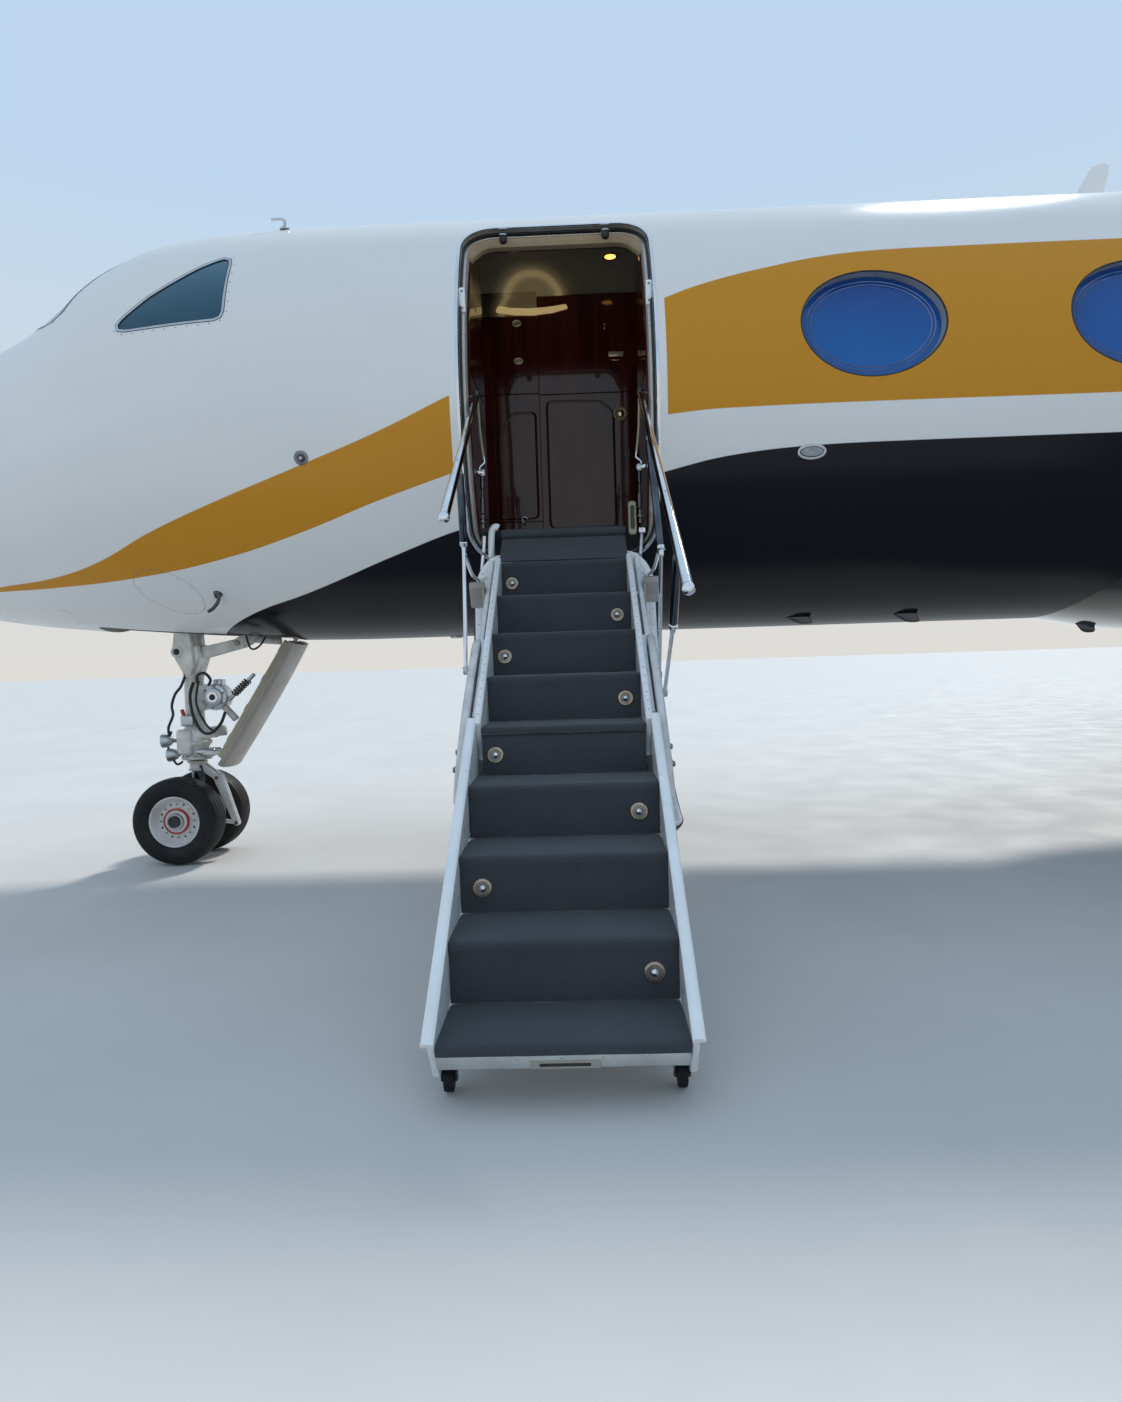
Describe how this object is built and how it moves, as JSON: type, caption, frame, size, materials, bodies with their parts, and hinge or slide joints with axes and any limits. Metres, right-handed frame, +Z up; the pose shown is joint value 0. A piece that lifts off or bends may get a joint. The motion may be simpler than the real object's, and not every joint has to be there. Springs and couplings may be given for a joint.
{
  "type": "business jet",
  "caption": "Twin-engine business jet parked on its gear with the airstair door let down; wheels, nose steering, fans and control surfaces move.",
  "frame": {"origin": "on the ground, midway between the nose tip and the rearmost point of the stabiliser, on the centre plane", "axes": "+X from nose to tail, +Y to starboard, +Z up"},
  "size_m": [27.2, 23.764, 7.59],
  "materials": {
    "white_paint": "gloss",
    "tail_paint": "gloss",
    "black_paint": "gloss",
    "bare_metal": "satin",
    "strut_paint": "satin",
    "rail_chrome": "polished",
    "window_glass": "gloss",
    "tyre_rubber": "matt",
    "stair_carpet": "matt",
    "seat_leather": "satin",
    "dark_leather": "satin",
    "cabin_wood": "gloss"
  },
  "bodies": {
    "airframe": {"radome": "white_paint", "cockpit_shell": "white_paint", "forward_shell": "white_paint", "cabin_shell": "white_paint", "aft_fuselage": "white_paint", "tail_cone": "white_paint", "side_window_left": "window_glass", "side_window_right": "window_glass", "windscreen_left": "window_glass", "windscreen_right": "window_glass", "cabin_windows_left": "window_glass", "cabin_windows_right": "window_glass", "cabin_floor": "stair_carpet", "instrument_panel": "dark_leather", "pilot_seat_left": "dark_leather", "pilot_seat_right": "dark_leather", "cabin_seats_left": "seat_leather", "cabin_seats_right": "seat_leather", "cockpit_bulkhead": "cabin_wood", "cabin_bulkhead": "cabin_wood", "galley_cabinet": "cabin_wood", "belly_fairing": "black_paint", "wing_left": "white_paint", "wing_right": "white_paint", "flap_left": "white_paint", "flap_right": "white_paint", "fin": "tail_paint", "stabilizer": "tail_paint", "nacelle_left": "white_paint", "nacelle_right": "white_paint", "engine_core_left": "bare_metal", "engine_core_right": "bare_metal", "pylon_left": "white_paint", "pylon_right": "white_paint", "nose_gear_leg": "strut_paint", "nose_gear_door": "strut_paint", "main_gear_leg_left": "strut_paint", "main_gear_leg_right": "strut_paint", "door_skin": "white_paint", "stair_upper": "stair_carpet", "stair_lower": "stair_carpet", "handrail_forward": "rail_chrome", "handrail_aft": "rail_chrome"},
    "nose_steering": {"nose_gear_lower": "strut_paint"},
    "nose_wheels": {"nose_hub": "strut_paint", "nose_tyre_left": "tyre_rubber", "nose_tyre_right": "tyre_rubber"},
    "main_wheels_left": {"main_hub_left": "strut_paint", "main_tyre_left_inner": "tyre_rubber", "main_tyre_left_outer": "tyre_rubber"},
    "main_wheels_right": {"main_hub_right": "strut_paint", "main_tyre_right_inner": "tyre_rubber", "main_tyre_right_outer": "tyre_rubber"},
    "fan_left": {"fan_left": "bare_metal"},
    "fan_right": {"fan_right": "bare_metal"},
    "aileron_left": {"aileron_left": "white_paint"},
    "aileron_right": {"aileron_right": "white_paint"},
    "elevator_left": {"elevator_left": "tail_paint"},
    "elevator_right": {"elevator_right": "tail_paint"},
    "rudder": {"rudder": "tail_paint"}
  },
  "joints": [
    {"name": "nose_steer", "type": "hinge", "parent": "airframe", "child": "nose_steering", "pos_m": [-10.97, 0, 0.6], "axis": [0, 0, 1], "range_deg": [-75, 75]},
    {"name": "nose_wheels_spin", "type": "hinge", "parent": "nose_steering", "child": "nose_wheels", "pos_m": [-11.01, 0, 0.26422], "axis": [0, 1, 0], "continuous": true},
    {"name": "main_wheels_left_spin", "type": "hinge", "parent": "airframe", "child": "main_wheels_left", "pos_m": [0.6, -2.085, 0.42632], "axis": [0, 1, 0], "continuous": true},
    {"name": "main_wheels_right_spin", "type": "hinge", "parent": "airframe", "child": "main_wheels_right", "pos_m": [0.6, 2.085, 0.42632], "axis": [0, 1, 0], "continuous": true},
    {"name": "fan_left_spin", "type": "hinge", "parent": "airframe", "child": "fan_left", "pos_m": [4.2, -2.05, 3.08], "axis": [1, 0, 0], "continuous": true},
    {"name": "fan_right_spin", "type": "hinge", "parent": "airframe", "child": "fan_right", "pos_m": [4.2, 2.05, 3.08], "axis": [1, 0, 0], "continuous": true},
    {"name": "aileron_left_hinge", "type": "hinge", "parent": "airframe", "child": "aileron_left", "pos_m": [2.75506, -8.3, 2.11498], "axis": [-0.3246, 0.9446, -0.0495], "range_deg": [-20, 20]},
    {"name": "aileron_right_hinge", "type": "hinge", "parent": "airframe", "child": "aileron_right", "pos_m": [2.75506, 8.3, 2.11498], "axis": [0.3246, 0.9446, 0.0495], "range_deg": [-20, 20]},
    {"name": "elevator_left_hinge", "type": "hinge", "parent": "airframe", "child": "elevator_left", "pos_m": [11.83009, -0.62, 7.43], "axis": [-0.3196, 0.9476, 0], "range_deg": [-25, 18]},
    {"name": "elevator_right_hinge", "type": "hinge", "parent": "airframe", "child": "elevator_right", "pos_m": [11.83009, 0.62, 7.43], "axis": [0.3196, 0.9476, 0], "range_deg": [-25, 18]},
    {"name": "rudder_hinge", "type": "hinge", "parent": "airframe", "child": "rudder", "pos_m": [10.78531, 0, 4.35], "axis": [0.4877, 0, 0.873], "range_deg": [-25, 25]}
  ],
  "couplings": [
    {"joint": "aileron_right_hinge", "follows": "aileron_left_hinge", "ratio": -1},
    {"joint": "elevator_right_hinge", "follows": "elevator_left_hinge", "ratio": 1}
  ]
}
